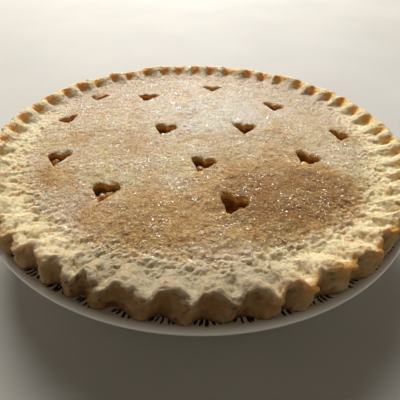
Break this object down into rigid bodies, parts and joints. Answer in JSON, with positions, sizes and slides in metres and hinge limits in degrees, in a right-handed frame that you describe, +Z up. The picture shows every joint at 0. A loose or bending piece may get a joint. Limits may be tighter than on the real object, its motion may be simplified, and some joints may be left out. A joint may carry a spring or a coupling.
{
  "type": "double-crust apple pie in a ceramic dish",
  "caption": "Whole apple pie with a domed lid, heart-shaped vents showing apple filling and a fluted rim, in a round flanged ceramic pie dish.",
  "frame": {"origin": "middle of the dish's foot, on the surface the dish stands on", "axes": "+Z up along the axis of the dish, -Y towards the side seen in the picture, +X to the right"},
  "size_m": [0.2568, 0.2568, 0.0596],
  "materials": {
    "dish_glaze": "smooth cream-white glaze with a dark stroke border on the flange",
    "crust": "baked flaky pastry with coarse sugar on the lid",
    "filling": "glossy cooked apple in syrup"
  },
  "bodies": {
    "root": {"pie_dish": "dish_glaze", "crust": "crust", "filling": "filling"}
  },
  "joints": []
}
